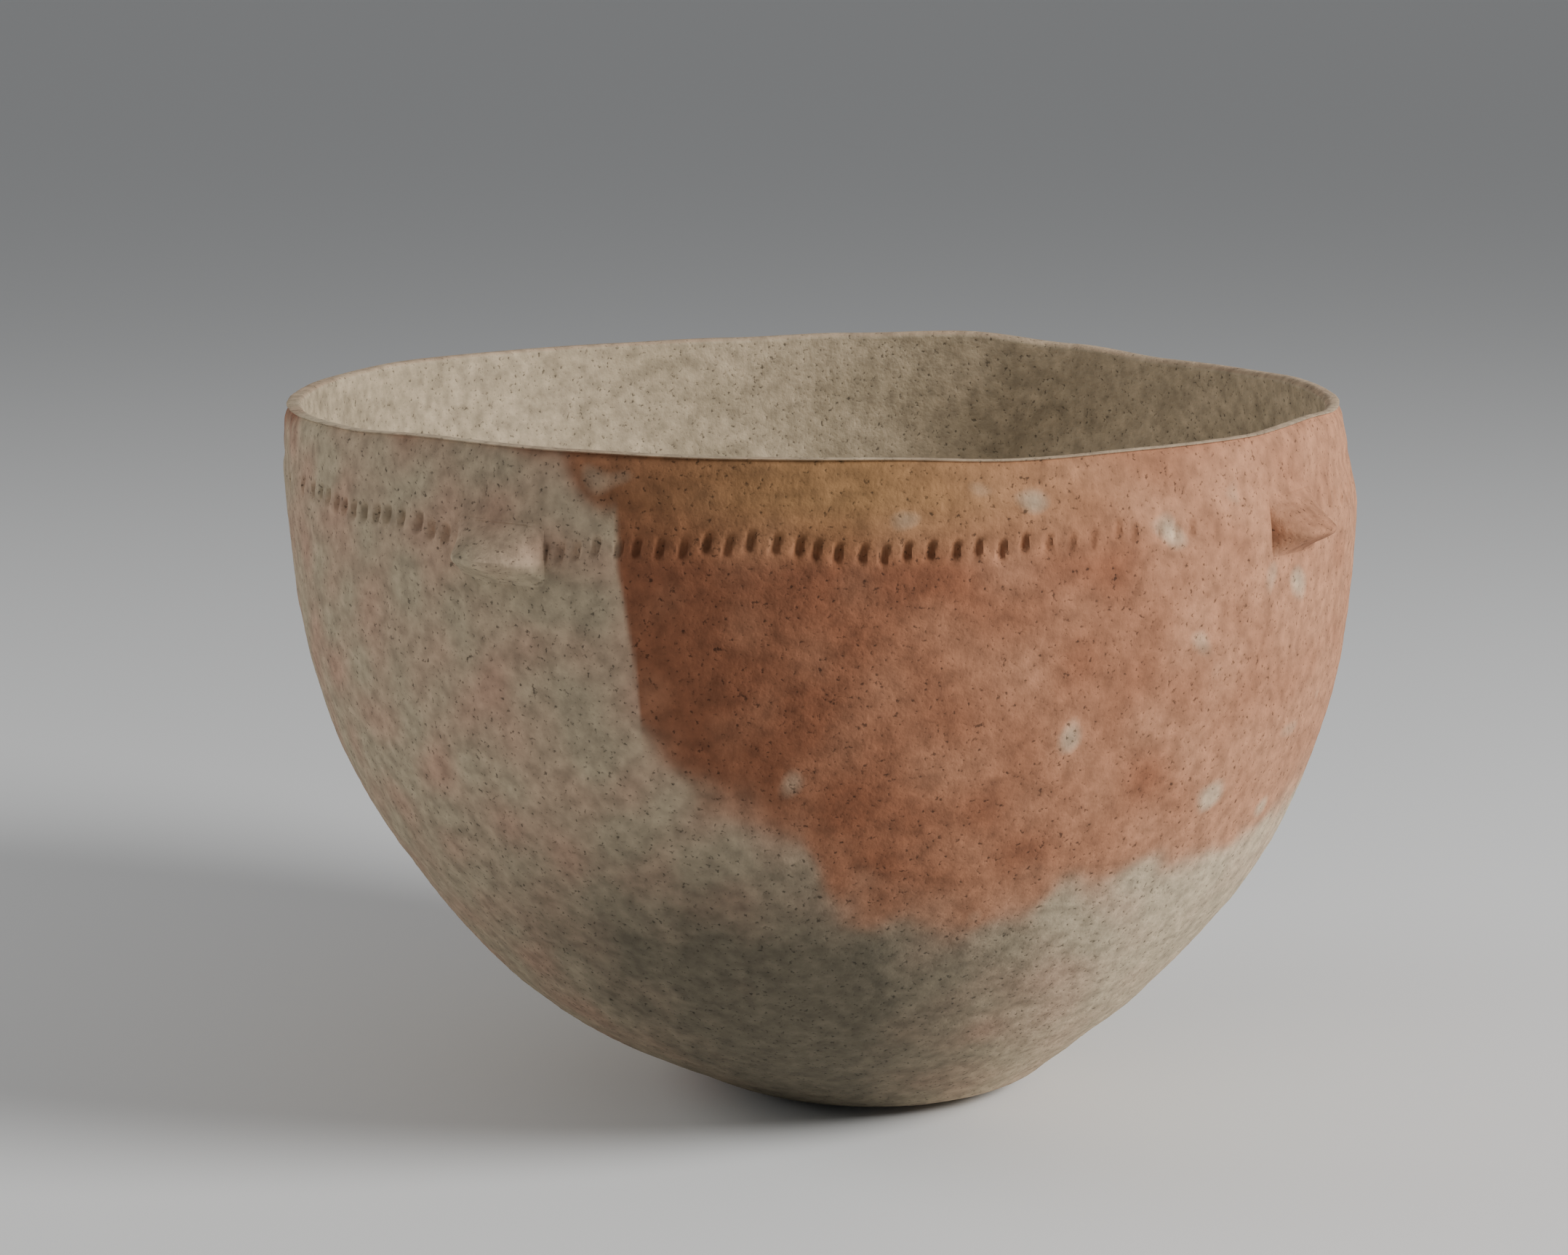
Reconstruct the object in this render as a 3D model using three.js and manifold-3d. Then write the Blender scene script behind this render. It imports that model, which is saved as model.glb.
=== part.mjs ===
// Hand-built pottery bowl with a rounded base, a finishing rim coil and four small ledge lugs.
// The vessel is made the way such a bowl is made: a moulded base pad, five wall coils drawn up
// one on another with bevelled (scarfed) joins, a taller coil that carries the lugs and the row of
// pricked marks, a thin rim coil, and four lugs luted on the outside.
// Millimetres, +Z up. The origin is the centre of the small flat that the bowl rests on.
// -Y is the front, +X the right-hand side.
import * as THREE from "three";
import { mergeVertices } from "three/addons/utils/BufferGeometryUtils.js";
import Module from "manifold-3d";

// ---------------------------------------------------------------- driving dimensions
const SEGMENTS = 64; // facets round the vessel
const GAP = 0.45; // clearance along the wall at each luted join, about 0.3 square to the face
const FLAT_RADIUS = 26; // the worn flat under the base
const NOMINAL_RIM = 186; // rim height before its hand-made unevenness
const LEVELS = [0, 3, 9, 18, 30, 45, 62, 80, 98, 116, 132, 146, 158, 170, 186];
// Outer radius at each level on the bowl's right and left sides: it leans and bulges to the left.
const RIGHT_RADII = [26, 47.1, 55.5, 65.8, 79.5, 93.2, 106.4, 116, 122.8, 127.4, 129.5, 130.6, 131, 129.2, 126.2];
const LEFT_RADII = [26, 39.5, 53.6, 72.6, 90.2, 105.3, 118.6, 130.6, 139.2, 144.9, 148.1, 149.8, 151, 151.5, 150.7];
// Wall thickness against height: thick in the base, thin at the lip.
const THICK_AT = [0, 12, 40, 90, 140, 172, 190];
const THICKNESS = [9.5, 8.6, 7.4, 6.8, 6.4, 5.6, 4.4];
// Rim height round the bowl every 15 degrees, counted from +X towards +Y.
const RIM_HEIGHTS = [
  185.4, 185.7, 185.1, 185.0, 187.1, 189.3, 188.0, 186.7, 186.1, 185.9, 186.1, 185.5,
  184.8, 184.9, 185.4, 186.8, 186.4, 186.1, 186.0, 184.8, 185.4, 185.3, 186.5, 185.3,
];
// Outer heights at which one course ends and the next begins.
const JOINS = [12, 34, 58, 84, 112, 142, 173];
const SCARF = 5.0; // how much further up the wall the inside edge of a join lies
// Lugs: azimuth from +X, height of the crest, width along the wall, reach out of the wall, depth.
const LUGS = [
  { name: "lug_front_left", azimuth: -126, crest: 160.5, width: 21, reach: 10.0, drop: 9 },
  { name: "lug_front_right", azimuth: -37.5, crest: 162, width: 21, reach: 9.5, drop: 9 },
  { name: "lug_back_right", azimuth: 52, crest: 161, width: 20, reach: 9.5, drop: 9 },
  { name: "lug_back_left", azimuth: 142, crest: 161, width: 21, reach: 9.5, drop: 9 },
];
const LUG_GAP = 0.35; // luting gap behind a lug

// ---------------------------------------------------------------- the wall's surfaces
// Monotone cubic through the level tables, so that the wall has no waves between levels.
function monotone(xs, ys) {
  const n = xs.length;
  const d = [];
  const m = [];
  for (let i = 0; i < n - 1; i++) d.push((ys[i + 1] - ys[i]) / (xs[i + 1] - xs[i]));
  m.push(d[0]);
  for (let i = 1; i < n - 1; i++) {
    if (d[i - 1] * d[i] <= 0) m.push(0);
    else {
      const w1 = 2 * (xs[i + 1] - xs[i]) + (xs[i] - xs[i - 1]);
      const w2 = xs[i + 1] - xs[i] + 2 * (xs[i] - xs[i - 1]);
      m.push((w1 + w2) / (w1 / d[i - 1] + w2 / d[i]));
    }
  }
  m.push(d[n - 2]);
  return (x) => {
    if (x <= xs[0]) return ys[0];
    if (x >= xs[n - 1]) return ys[n - 1] + m[n - 1] * (x - xs[n - 1]);
    let i = 0;
    while (x > xs[i + 1]) i++;
    const h = xs[i + 1] - xs[i];
    const t = (x - xs[i]) / h;
    return (
      ys[i] * (1 + 2 * t) * (1 - t) ** 2 + m[i] * h * t * (1 - t) ** 2 +
      ys[i + 1] * t * t * (3 - 2 * t) + m[i + 1] * h * t * t * (t - 1)
    );
  };
}
const rightSide = monotone(LEVELS, RIGHT_RADII);
const leftSide = monotone(LEVELS, LEFT_RADII);
const thicknessAt = monotone(THICK_AT, THICKNESS);

function outerRadius(angle, z) {
  const w = (1 + Math.cos(angle)) / 2;
  return w * rightSide(z) + (1 - w) * leftSide(z);
}

function rimHeight(angle) {
  const n = RIM_HEIGHTS.length;
  const s = (((angle / (2 * Math.PI)) % 1) + 1) % 1 * n;
  const i = Math.floor(s);
  const t = s - i;
  const p = [-1, 0, 1, 2].map((k) => RIM_HEIGHTS[(i + k + n) % n]);
  return (
    p[1] + 0.5 * t * (p[2] - p[0] + t * (2 * p[0] - 5 * p[1] + 4 * p[2] - p[3] + t * (3 * (p[1] - p[2]) + p[3] - p[0])))
  );
}

// The rim's unevenness is taken up in the top 30 mm of the wall.
function uneven(angle, z) {
  const t = Math.min(1, Math.max(0, (z - (NOMINAL_RIM - 30)) / 30));
  return z + (rimHeight(angle) - NOMINAL_RIM) * t * t * (3 - 2 * t);
}

function outerPoint(angle, z) {
  return [outerRadius(angle, z), uneven(angle, z)];
}

function slope(angle, z) {
  const a = Math.max(0.01, z - 0.4);
  return (outerRadius(angle, z + 0.4) - outerRadius(angle, a)) / (z + 0.4 - a);
}

function innerPoint(angle, z) {
  const s = slope(angle, z);
  const t = thicknessAt(z);
  const k = Math.hypot(1, s);
  const [r, h] = outerPoint(angle, z);
  return [r - t / k, h + (t * s) / k];
}

// A step of GAP along the wall, as a height.
const step = (angle, z) => GAP / Math.hypot(1, slope(angle, z));
// Height on the inside surface where a join that starts at z outside comes out.
const scarfed = (angle, z) => z + SCARF / Math.hypot(1, slope(angle, z));

// ---------------------------------------------------------------- solids
const wasm = await Module();
wasm.setup();

function closedGeometry(geometry) {
  for (const name of Object.keys(geometry.attributes)) if (name !== "position") geometry.deleteAttribute(name);
  return mergeVertices(geometry, 1e-4);
}

// A LatheGeometry whose section changes with azimuth: sectionAt(angle) gives the same number of
// [radius, height] points at every azimuth, anticlockwise seen with the axis on the left.
function hoop(sectionAt, closes) {
  const first = sectionAt(0).map(([r, h]) => new THREE.Vector2(r, h));
  if (closes) first.push(first[0].clone());
  const g = new THREE.LatheGeometry(first, SEGMENTS);
  const p = g.getAttribute("position");
  const n = first.length;
  for (let i = 0; i <= SEGMENTS; i++) {
    const angle = ((i % SEGMENTS) * 2 * Math.PI) / SEGMENTS;
    const section = sectionAt(angle);
    if (closes) section.push(section[0]);
    for (let j = 0; j < n; j++) {
      const [r, h] = section[j];
      p.setXYZ(i * n + j, r * Math.cos(angle), r * Math.sin(angle), h);
    }
  }
  return g;
}

function toManifold(geometry) {
  const g = closedGeometry(geometry.clone());
  const index = g.index.array;
  const keep = [];
  for (let i = 0; i < index.length; i += 3) {
    const [a, b, c] = [index[i], index[i + 1], index[i + 2]];
    if (a !== b && b !== c && c !== a) keep.push(a, b, c);
  }
  return new wasm.Manifold(
    new wasm.Mesh({ numProp: 3, vertProperties: new Float32Array(g.attributes.position.array), triVerts: new Uint32Array(keep) }),
  );
}

function fromManifold(solid) {
  const m = solid.getMesh();
  const g = new THREE.BufferGeometry();
  const v = new Float32Array(m.numVert * 3);
  for (let i = 0; i < m.numVert; i++) v.set(m.vertProperties.subarray(i * m.numProp, i * m.numProp + 3), i * 3);
  g.setAttribute("position", new THREE.BufferAttribute(v, 3));
  g.setIndex(new THREE.BufferAttribute(m.triVerts, 1));
  g.computeVertexNormals();
  return g;
}

// Turns a lathe-made shape outwards if its section ran the other way.
function facingOut(geometry) {
  const g = closedGeometry(geometry);
  let solid = toManifold(g);
  if (solid.volume() < 0) {
    const index = g.index.array;
    for (let i = 0; i < index.length; i += 3) [index[i + 1], index[i + 2]] = [index[i + 2], index[i + 1]];
    solid = toManifold(g);
  }
  return fromManifold(solid);
}

const between = (a, b, n) => Array.from({ length: n + 1 }, (_, i) => a + ((b - a) * i) / n);

// Base pad: flat underneath, rounded up to the first join, open dish inside.
function basePad(top) {
  return hoop((angle) => {
    const section = [[0, 0], [FLAT_RADIUS, 0]];
    for (const z of [0.7, 1.6, 3, 5.5, 8.5, top]) section.push(outerPoint(angle, z));
    const inner = [scarfed(angle, top), 8.5, 5.5, 3];
    for (const z of inner) section.push(innerPoint(angle, z));
    section.push([FLAT_RADIUS - 4, thicknessAt(0) + 0.2], [0, thicknessAt(0)]);
    return section;
  }, false);
}

// One coil, from join to join.
function course(from, to, steps) {
  return hoop((angle) => {
    const a = from + step(angle, from);
    const section = between(a, to, steps).map((z) => outerPoint(angle, z));
    const top = scarfed(angle, to);
    const bottom = scarfed(angle, from) + step(angle, from);
    for (const z of between(top, bottom, steps)) section.push(innerPoint(angle, z));
    return section;
  }, true);
}

// Rim coil: tapers to a rounded, slightly outward-bevelled lip.
function rimCoil(from) {
  return hoop((angle) => {
    const a = from + step(angle, from);
    const section = between(a, NOMINAL_RIM - 3, 2).map((z) => outerPoint(angle, z));
    const [ro, ho] = outerPoint(angle, NOMINAL_RIM);
    const [ri] = innerPoint(angle, NOMINAL_RIM);
    section.push([ro - 0.3, ho - 1.3], [ro - 1.3, ho - 0.25], [(ro + ri) / 2 - 0.2, ho], [ri + 0.9, ho - 0.35], [ri + 0.15, ho - 1.5]);
    for (const z of between(NOMINAL_RIM - 4, scarfed(angle, from) + step(angle, from), 1)) section.push(innerPoint(angle, z));
    return section;
  }, true);
}

// The whole vessel's outside, filled, and grown by LUG_GAP: what a lug's back is cut to.
const envelope = facingOut(
  hoop((angle) => {
    const section = [[0, -1], [FLAT_RADIUS, -1]];
    for (const z of between(3, NOMINAL_RIM, 24)) {
      const [r, h] = outerPoint(angle, z);
      section.push([r + LUG_GAP, h]);
    }
    section.push([0, NOMINAL_RIM]);
    return section;
  }, false),
);

// A lug: a ledge with a sloping top, a blunt worn front and a steep underside, its back cut to the wall.
function lug({ azimuth, crest, width, reach, drop }) {
  const angle = (azimuth * Math.PI) / 180;
  const r = outerRadius(angle, crest);
  const inset = 4; // how far the blank runs into the wall before it is cut
  const profile = new THREE.Shape();
  profile.moveTo(-inset, 7.5);
  profile.lineTo(0.8, 7.0);
  profile.quadraticCurveTo(reach * 0.55, 3.2, reach - 1.0, 1.2);
  profile.quadraticCurveTo(reach + 0.3, 0.2, reach - 0.4, -1.6);
  profile.lineTo(reach - 3.2, -drop * 0.62);
  profile.quadraticCurveTo(reach * 0.45, -drop * 0.9, 0.6, -drop);
  profile.lineTo(-inset, -drop);
  profile.closePath();
  const g = new THREE.ExtrudeGeometry(profile, { depth: width, steps: 8, bevelEnabled: false, curveSegments: 4 });
  // Extrusion runs along the wall; the ends are drawn in towards the wall so that the lug is a blunt tongue.
  const p = g.getAttribute("position");
  for (let i = 0; i < p.count; i++) {
    const out = p.getX(i);
    const up = p.getY(i);
    const along = p.getZ(i) - width / 2;
    const e = Math.min(1, Math.abs(along) / (width / 2));
    const k = 1 - 0.55 * e ** 3;
    const x = out > 0 ? out * k : out;
    const z = up * (1 - 0.28 * e ** 2);
    const y = along * (out > 0 ? 1 - 0.22 * (out / reach) : 1);
    p.setXYZ(
      i,
      (r + x) * Math.cos(angle) - y * Math.sin(angle),
      (r + x) * Math.sin(angle) + y * Math.cos(angle),
      crest + z,
    );
  }
  let blank = facingOut(g);
  return fromManifold(toManifold(blank).subtract(toManifold(envelope)));
}

// ---------------------------------------------------------------- materials
const buffClay = () => new THREE.MeshStandardMaterial({ color: 0xa8977c, roughness: 0.93, metalness: 0 });
const redSlip = () => new THREE.MeshStandardMaterial({ color: 0xa8694c, roughness: 0.86, metalness: 0 });

// ---------------------------------------------------------------- assembly
const bowl = new THREE.Group();
function place(name, geometry, material) {
  const mesh = new THREE.Mesh(geometry, material);
  mesh.name = name;
  bowl.add(mesh);
}
place("base_pad", facingOut(basePad(JOINS[0])), buffClay());
place("wall_coil_1", facingOut(course(JOINS[0], JOINS[1], 4)), buffClay());
place("wall_coil_2", facingOut(course(JOINS[1], JOINS[2], 3)), buffClay());
place("wall_coil_3", facingOut(course(JOINS[2], JOINS[3], 3)), redSlip());
place("wall_coil_4", facingOut(course(JOINS[3], JOINS[4], 3)), redSlip());
place("wall_coil_5", facingOut(course(JOINS[4], JOINS[5], 3)), redSlip());
place("band_coil", facingOut(course(JOINS[5], JOINS[6], 3)), redSlip());
place("rim_coil", facingOut(rimCoil(JOINS[6])), redSlip());
for (const spec of LUGS) place(spec.name, lug(spec), redSlip());

export default bowl;
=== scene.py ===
import math
import bpy
import numpy as np
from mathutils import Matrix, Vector


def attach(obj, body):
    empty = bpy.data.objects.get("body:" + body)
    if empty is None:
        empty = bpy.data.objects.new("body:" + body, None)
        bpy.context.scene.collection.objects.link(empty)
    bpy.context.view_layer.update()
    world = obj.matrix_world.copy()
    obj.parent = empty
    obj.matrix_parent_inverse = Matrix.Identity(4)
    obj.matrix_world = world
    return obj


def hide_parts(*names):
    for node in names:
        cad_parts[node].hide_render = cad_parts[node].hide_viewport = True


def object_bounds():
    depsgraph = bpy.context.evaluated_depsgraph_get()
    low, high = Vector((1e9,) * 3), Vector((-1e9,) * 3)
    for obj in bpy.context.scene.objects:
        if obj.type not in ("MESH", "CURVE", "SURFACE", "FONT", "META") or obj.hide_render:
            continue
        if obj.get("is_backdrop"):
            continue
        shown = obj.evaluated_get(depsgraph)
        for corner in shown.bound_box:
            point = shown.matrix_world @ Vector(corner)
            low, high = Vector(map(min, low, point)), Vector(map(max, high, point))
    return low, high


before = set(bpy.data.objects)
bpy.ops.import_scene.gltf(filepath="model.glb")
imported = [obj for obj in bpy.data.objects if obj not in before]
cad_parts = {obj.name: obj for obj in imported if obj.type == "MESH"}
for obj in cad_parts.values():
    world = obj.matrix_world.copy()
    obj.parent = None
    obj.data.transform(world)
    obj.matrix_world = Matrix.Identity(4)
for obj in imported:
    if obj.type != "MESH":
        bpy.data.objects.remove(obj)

def plain(v):
    return v if isinstance(v, (str, bool)) or v is None else {k: plain(x) for k, x in v.items()} if isinstance(v, dict) else [plain(x) for x in v] if hasattr(v, "__len__") else float(v)

before = plain(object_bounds())

# ---- the vessel's surface, millimetres
LV = np.array([0, 3, 9, 18, 30, 45, 62, 80, 98, 116, 132, 146, 158, 170, 186.0])
RR = np.array([26, 47.1, 55.5, 65.8, 79.5, 93.2, 106.4, 116, 122.8, 127.4, 129.5, 130.6, 131, 129.2, 126.2])
RL = np.array([26, 39.5, 53.6, 72.6, 90.2, 105.3, 118.6, 130.6, 139.2, 144.9, 148.1, 149.8, 151, 151.5, 150.7])
TZ = np.array([0, 12, 40, 90, 140, 172, 190.0])
TT = np.array([9.5, 8.6, 7.4, 6.8, 6.4, 5.6, 4.4])
RIM = np.array([185.4, 185.7, 185.1, 185.0, 187.1, 189.3, 188.0, 186.7, 186.1, 185.9, 186.1, 185.5, 184.8, 184.9, 185.4, 186.8, 186.4, 186.1, 186.0, 184.8, 185.4, 185.3, 186.5, 185.3])
JOINS = [12, 34, 58, 84, 112, 142, 173]
TOP = 186.0

def pchip(xs, ys):
    h = np.diff(xs); d = np.diff(ys) / h; m = np.zeros(len(xs)); m[0], m[-1] = d[0], d[-1]
    for i in range(1, len(xs) - 1):
        if d[i-1] * d[i] > 0:
            a, b = 2*h[i] + h[i-1], h[i] + 2*h[i-1]; m[i] = (a+b) / (a/d[i-1] + b/d[i])
    def f(x):
        x = np.clip(x, xs[0], xs[-1]); i = np.clip(np.searchsorted(xs, x, side="right") - 1, 0, len(h) - 1); t = (x - xs[i]) / h[i]
        return ys[i]*(1+2*t)*(1-t)**2 + m[i]*h[i]*t*(1-t)**2 + ys[i+1]*t*t*(3-2*t) + m[i+1]*h[i]*t*t*(t-1)
    return f
fR, fL, fT = pchip(LV, RR), pchip(LV, RL), pchip(TZ, TT)
def r_out(th, z):
    w = (1 + np.cos(th)) / 2
    return w*fR(z) + (1-w)*fL(z)
def uneven(th, z):
    t = np.clip((z - (TOP-30)) / 30, 0, 1)
    s = np.mod(th / (2*np.pi), 1) * 24; i = np.floor(s).astype(int); f = s - i; f = f*f*(3-2*f)
    rim = RIM[i % 24]*(1-f) + RIM[(i+1) % 24]*f
    return z + (rim - TOP - 0.15) * t*t*(3-2*t)
rng = np.random.default_rng(7)
def waves(n, lo, hi):
    k = rng.normal(size=(n, 3)); k /= np.linalg.norm(k, axis=1)[:, None]; L = np.exp(rng.uniform(np.log(lo), np.log(hi), n))
    return k * (2*np.pi / L)[:, None], rng.uniform(0, 6.28, n)
W_BIG, W_MID, W_FINE, W_COL = waves(14, 40, 110), waves(30, 9, 26), waves(40, 2.6, 7), waves(26, 12, 60)
def noise(p, w):
    return np.sin(p @ w[0].T + w[1]).sum(1) / math.sqrt(len(w[1]))

# The row of pricked marks: azimuth in degrees, height
MARKS = [(-165.1,167.3),(-159.2,168.2),(-155.9,168.4),(-153.7,168.3),(-151.9,167.8),(-150,166.6),(-148.3,166.4),(-146.5,166.2),(-144.6,166.1),(-142.5,166.2),(-140.8,166.3),(-138.6,166.1),(-136.1,165.9),(-134.4,164.4),(-132.5,164),(-121.3,162),(-119.5,162.5),(-117.8,163.1),(-115.8,164.3),(-113.5,164.5),(-111.8,164.8),(-109.6,164.8),(-107.4,165),(-105.2,166.6),(-103.2,166),(-101.2,167.1),(-98.8,166.6),(-96.7,166),(-95.1,165.2),(-93.1,164.6),(-90.8,164.5),(-88.8,164.1),(-86.7,164.7),(-84.4,164.9),(-82,164.7),(-79.8,165.2),(-77.4,164.6),(-75.1,166),(-72.6,165.7),(-70.1,165.3),(-67.7,165.6),(-64.8,167.7),(-62.9,166.3),(-59.7,166),(-57.5,165.6),(-55.3,165.8)]
for a in np.arange(-27, 192, 2.25):
    if min(abs(a-52), abs(a-142)) > 6.5: MARKS.append((a + rng.uniform(-.3, .3), 165.6 + rng.uniform(-.7, .7)))
LUGS = [("lug_front_left", -126, 160.5, 21, 9.6), ("lug_front_right", -37.5, 162, 21, 9.1), ("lug_back_right", 52, 161, 20, 9.1), ("lug_back_left", 142, 161, 21, 9.1)]

def marks(th, z):
    out = np.zeros_like(th); deg = np.degrees(th)
    for a, c in MARKS:
        da = (deg - a + 180) % 360 - 180; s = np.abs(da) < 2.4
        if not s.any(): continue
        x = np.radians(da[s]) * 138; y = z[s] - c; x = x - 0.18*y; soft = 1.0 if a < -75 else 0.6
        out[s] -= 1.35*soft*np.exp(-((x/1.0)**4 + (y/2.3)**4)); out[s] += 0.12*soft*np.exp(-(((x-1.6)/0.7)**2 + ((y+1.2)/1.6)**2))
    return out
def relief(th, z, p):
    d = -0.55 + 0.13*noise(p, W_BIG) + 0.11*noise(p, W_MID) + 0.045*noise(p, W_FINE)*np.where(z < 75, 2.0, 1.0)
    deg = (np.degrees(th) + 180) % 360 - 180
    d -= 1.0*np.exp(-((z - 56 - 0.25*(deg+136))/1.3)**2) * np.exp(-((deg+136)/7.0)**4)
    d -= 0.8*np.exp(-((z - 41)/2.0)**2) * np.exp(-((deg+72)/9.0)**4)
    d -= 0.35*np.exp(-((z - 173)/2.2)**2)
    return d + marks(th, z)
SLIP = np.array([(-180,176),(-160,193),(-120,187),(-114,170),(-112.4,139),(-112,122),(-107,106),(-97,96),(-93,78),(-84,73),(-72,75),(-57,80),(-45,80),(-32,86),(0,92),(60,86),(120,95),(180,176)], float)
def colour(th, z, p, inside):
    deg = (np.degrees(th) + 180) % 360 - 180; n1, n2 = noise(p, W_COL), noise(p, W_MID)
    red = 1/(1 + np.exp(-(z - np.interp(deg, SLIP[:,0], SLIP[:,1]) + 3.5*n1 + 1.8*n2)/2.2)) * (1 - inside)
    # the dark grey below is the colour of painted shade on the lower front-left of the body
    buff = np.array([.42,.34,.23]); pink = np.array([.45,.29,.20]); painted_shade_grey = np.array([.13,.11,.075]); cream = np.array([.52,.42,.29])
    # the two slip reds below are a shaded and a lit copy of one red slip
    slip_red_shaded = np.array([.235,.09,.045]); slip_red_lit = np.array([.42,.205,.115]); ochre = np.array([.30,.17,.07])
    mix = lambda a, b, t: a*(1-t)[:,None] + b*t[:,None]
    base = mix(np.tile(buff, (len(z),1)), pink, np.clip(.35 + .4*n1, 0, 1))
    # painted shade mask: the lower front-left of the body, turned away from the key light, fades towards dark grey
    painted_shade_lower_left = np.clip((104 - z)/42, 0, 1)*np.exp(-((deg+104)/38)**2)
    # painted light: the lower body is blended towards cream on its right-hand side, where the key light falls
    base = mix(base, painted_shade_grey, np.clip(1.1*painted_shade_lower_left + .1*n2*painted_shade_lower_left, 0, 1)); base = mix(base, cream, np.clip((deg+70)/40, 0, .6)*(z < 100))
    # painted light: the red slip goes from its shaded red on the left to its lit red on the right, towards the key
    # light, with a little random mottling
    slip = mix(np.tile(slip_red_shaded, (len(z),1)), slip_red_lit, np.clip((deg+105)/75 + .22*n1, 0, 1))
    slip = mix(slip, ochre, np.clip((z-160)/16, 0, 1)*np.exp(-((deg+92)/20)**2)*.8)
    slip = mix(slip, cream, np.clip(n1*.55 + n2*.5 - 1.05, 0, .7))
    c = mix(base, slip, red)
    return mix(c, mix(np.tile(cream, (len(z),1)), buff, np.clip(.4 + .35*n1, 0, 1)), inside)

def material(name):
    m = bpy.data.materials.new(name); m.use_nodes = True; nt = m.node_tree; N, L = nt.nodes, nt.links; b = N["Principled BSDF"]
    b.inputs["Roughness"].default_value = .88; b.inputs["Specular IOR Level"].default_value = .25
    at = N.new("ShaderNodeAttribute"); at.attribute_name = "clay"; co = N.new("ShaderNodeTexCoord")
    def noise_node(scale, detail):
        t = N.new("ShaderNodeTexNoise"); t.inputs["Scale"].default_value = scale; t.inputs["Detail"].default_value = detail; L.new(co.outputs["Object"], t.inputs["Vector"]); return t
    a, g = noise_node(260, 8), noise_node(900, 6)
    r = N.new("ShaderNodeMapRange"); r.inputs["From Min"].default_value = .3; r.inputs["From Max"].default_value = .7; r.inputs["To Min"].default_value = .72; r.inputs["To Max"].default_value = 1.22; L.new(a.outputs[0], r.inputs[0])
    x = N.new("ShaderNodeVectorMath"); x.operation = "SCALE"; L.new(at.outputs["Color"], x.inputs[0]); L.new(r.outputs[0], x.inputs["Scale"])
    pit = N.new("ShaderNodeMapRange"); pit.inputs["From Min"].default_value = .30; pit.inputs["From Max"].default_value = .40; pit.inputs["To Min"].default_value = .35; pit.inputs["To Max"].default_value = 1; L.new(g.outputs[0], pit.inputs[0])
    y = N.new("ShaderNodeVectorMath"); y.operation = "SCALE"; L.new(x.outputs[0], y.inputs[0]); L.new(pit.outputs[0], y.inputs["Scale"]); L.new(y.outputs[0], b.inputs["Base Color"])
    bu = N.new("ShaderNodeBump"); bu.inputs["Strength"].default_value = .45; bu.inputs["Distance"].default_value = .0006; L.new(g.outputs[0], bu.inputs["Height"]); L.new(bu.outputs[0], b.inputs["Normal"])
    return m
MAT = {"buff_clay": material("buff_clay"), "red_slip": material("red_slip")}

def finish_piece(name, node, slot, v, faces, col):
    me = bpy.data.meshes.new(name); me.from_pydata((v/1000).tolist(), [], faces); me.validate(); me.update()
    a = me.color_attributes.new("clay", "FLOAT_COLOR", "POINT"); a.data.foreach_set("color", np.hstack([col, np.ones((len(v),1))]).astype(np.float32).ravel())
    me.materials.append(MAT[slot]); me.shade_smooth(); me.set_sharp_from_angle(angle=math.radians(38))
    ob = bpy.data.objects.new(name, me); bpy.context.scene.collection.objects.link(ob)
    import bmesh
    bm = bmesh.new(); bm.from_mesh(me); bmesh.ops.recalc_face_normals(bm, faces=bm.faces); bm.to_mesh(me); bm.free()
    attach(ob, "root"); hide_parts(node); return ob

def thick(th, z, d):
    s = (r_out(th, np.minimum(z+.4, TOP)) - r_out(th, np.maximum(z-.4, 0))) / (np.minimum(z+.4, TOP) - np.maximum(z-.4, 0)); k = np.hypot(1, s)
    return r_out(th, z) - d*fT(z)/k, uneven(th, z) + d*fT(z)*s/k

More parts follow.
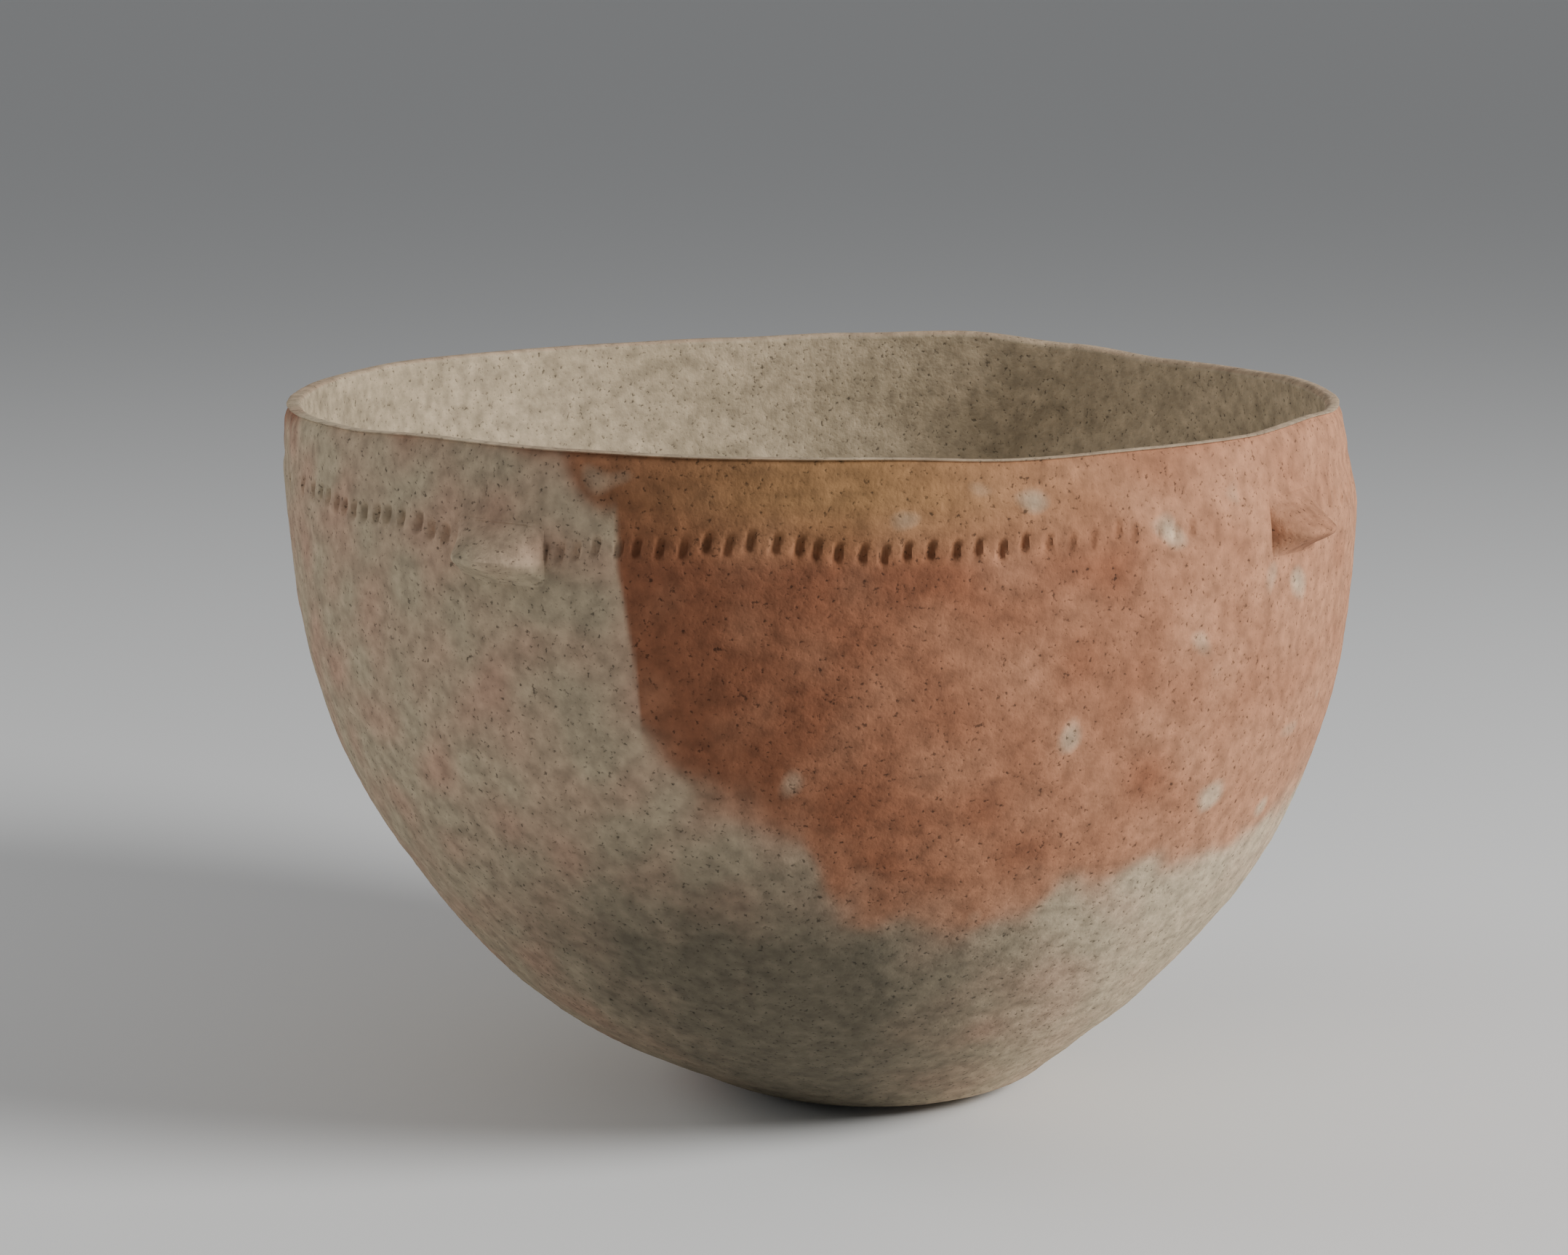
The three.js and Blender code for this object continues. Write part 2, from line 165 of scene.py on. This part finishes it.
def ring(name, slot, z0, z1, nth, no, ni, kind):
    th = np.linspace(0, 2*np.pi, nth, endpoint=False); rows = []
    for z in np.linspace(z0, z1, no): rows.append(("o", z))
    if kind == "rim":
        for t in np.linspace(.12, .88, 7): rows.append(("t", t))
    up = (0 if kind == "rim" else 3.5)
    for z in np.linspace(z1 + up, z0 + (0 if kind == "base" else 3.5), ni): rows.append(("i", min(z, TOP)))
    V, C = [], []
    for k, q in rows:
        z = np.full(nth, q if k != "t" else TOP); d = 0.0 if k == "o" else 1.0 if k == "i" else q
        r, h = thick(th, z, d)
        if k == "t": h = h + 1.3*np.sin(np.pi*q) - .6
        if k == "o" and kind == "rim": r = r - .9*np.clip((z-182)/4, 0, 1)**2; h = h - .6*np.clip((z-182)/4, 0, 1)
        if k == "i" and kind == "rim": h = h - .6*np.clip((z-182)/4, 0, 1)
        if kind == "rim": h = np.minimum(h, uneven(th, np.full(nth, TOP)))
        p = np.stack([r*np.cos(th), r*np.sin(th), h], 1); dr = relief(th, z, p) if k == "o" else .08*noise(p, W_MID) + .04*noise(p, W_FINE) - (.25 if k == "t" else 0)
        if kind == "base" and k == "o" and q < 2: dr = dr*q/2
        r = r + dr; V.append(np.stack([r*np.cos(th), r*np.sin(th), np.maximum(h, 0)], 1)); C.append(colour(th, z, p, np.full(nth, {"o": 0.0, "i": 1.0, "t": .55}[k])))
    n = len(rows); v = np.concatenate(V); c = np.concatenate(C); f = []
    last = n if kind != "base" else n - 1
    for j in range(last):
        a, b = j*nth, ((j+1) % n)*nth
        f += [(a+i, a+(i+1) % nth, b+(i+1) % nth, b+i) for i in range(nth)]
    if kind == "base":
        v = np.vstack([v, [[0, 0, 0], [0, 0, fT(np.array(0.0))]]]); c = np.vstack([c, c[:1], c[-1:]]); e = n*nth; b = (n-1)*nth
        f += [((i+1) % nth, i, e) for i in range(nth)] + [(b+i, b+(i+1) % nth, e+1) for i in range(nth)]
    finish_piece(name + "_clay", name, slot, v, f, c)

ring("base_pad", "buff_clay", 0.0, JOINS[0], 540, 22, 18, "base")
for i in range(5): ring("wall_coil_%d" % (i+1), "buff_clay" if i < 2 else "red_slip", JOINS[i], JOINS[i+1], 900, 34, 22, "wall")
ring("band_coil", "red_slip", JOINS[5], JOINS[6], 1300, 54, 14, "wall")
ring("rim_coil", "red_slip", JOINS[6], TOP, 900, 20, 16, "rim")

for name, az, crest, width, reach in LUGS:
    n = 84; u, w = np.meshgrid(np.linspace(-1.2, 1.2, n), np.linspace(-11.5, 10, n)); u, w = u.ravel(), w.ravel(); z = crest + w
    th = math.radians(az) + u*width/2/138; s = np.clip(1 - np.abs(u/1.12)**3.2, 0, 1)**.8
    v_ = np.where(w > 0, np.clip(1 - w/8.5, 0, 1), np.clip(1 + (w+.5)/6.5, 0, 1)); v_ = np.where(w > 0, v_**1.25, v_*v_*(3-2*v_)); hgt = reach*s*v_
    r = r_out(th, z); p = np.stack([r*np.cos(th), r*np.sin(th), uneven(th, z)], 1)
    rr = r + relief(th, z, p)*(hgt < .4) - .6*(hgt >= .4) + hgt*(1 + .05*noise(p, W_MID)) - .25*(hgt < .05)
    front = np.stack([rr*np.cos(th), rr*np.sin(th), p[:, 2]], 1); back = np.stack([(r-2.6)*np.cos(th), (r-2.6)*np.sin(th), p[:, 2]], 1)
    f = []; m = n*n
    for j in range(n-1):
        for i in range(n-1):
            a = j*n+i; f += [(a, a+1, a+n+1, a+n), (m+a, m+a+n, m+a+n+1, m+a+1)]
    for i in range(n-1):
        b = (n-1)*n + i; l = i*n; q = i*n + n-1; f += [(i, m+i, m+i+1, i+1), (b, b+1, m+b+1, m+b), (l, l+n, m+l+n, m+l), (q, m+q, m+q+n, q+n)]
    c = colour(th, z, p, np.zeros(m)); finish_piece(name + "_clay", name, "red_slip", np.vstack([front, back]), f, np.vstack([c, c]))

# ---- floor, light, camera
me = bpy.data.meshes.new("floor"); me.from_pydata([(-40, -6, 0), (40, -6, 0), (40, 90, 0), (-40, 90, 0)], [], [(0, 1, 2, 3)]); floor = bpy.data.objects.new("floor", me); bpy.context.scene.collection.objects.link(floor)
fm = bpy.data.materials.new("floor"); fm.use_nodes = True; fm.node_tree.nodes["Principled BSDF"].inputs["Base Color"].default_value = (.78, .78, .77, 1); fm.node_tree.nodes["Principled BSDF"].inputs["Roughness"].default_value = .9; me.materials.append(fm); floor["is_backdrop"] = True
def area(name, loc, size, watts):
    l = bpy.data.lights.new(name, "AREA"); l.shape = "DISK"; l.size = size; l.energy = watts; o = bpy.data.objects.new(name, l); bpy.context.scene.collection.objects.link(o)
    o.location = loc; o.rotation_euler = (Vector((0, 0, .1)) - Vector(loc)).to_track_quat("-Z", "Y").to_euler()
area("key", (1.3, -.6, .85), .6, 32); area("left_edge", (-1.4, .1, .7), .8, 7)
world = bpy.context.scene.world or bpy.data.worlds.new("world"); bpy.context.scene.world = world; world.use_nodes = True
bg = world.node_tree.nodes.get("Background") or world.node_tree.nodes.new("ShaderNodeBackground"); bg.inputs[0].default_value = (.9, .92, .95, 1); bg.inputs[1].default_value = .26
cam = bpy.data.cameras.new("camera"); cam.lens = 85; cam.sensor_width = 36; cam.sensor_fit = "HORIZONTAL"; cam.dof.use_dof = False
co = bpy.data.objects.new("camera", cam); bpy.context.scene.collection.objects.link(co); co.location = (-.01972, -.973, .29567); co.rotation_euler = (math.radians(79.9), 0, 0); bpy.context.scene.camera = co

bpy.context.view_layer.update()
{"cad": before, "visual": plain(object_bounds())}
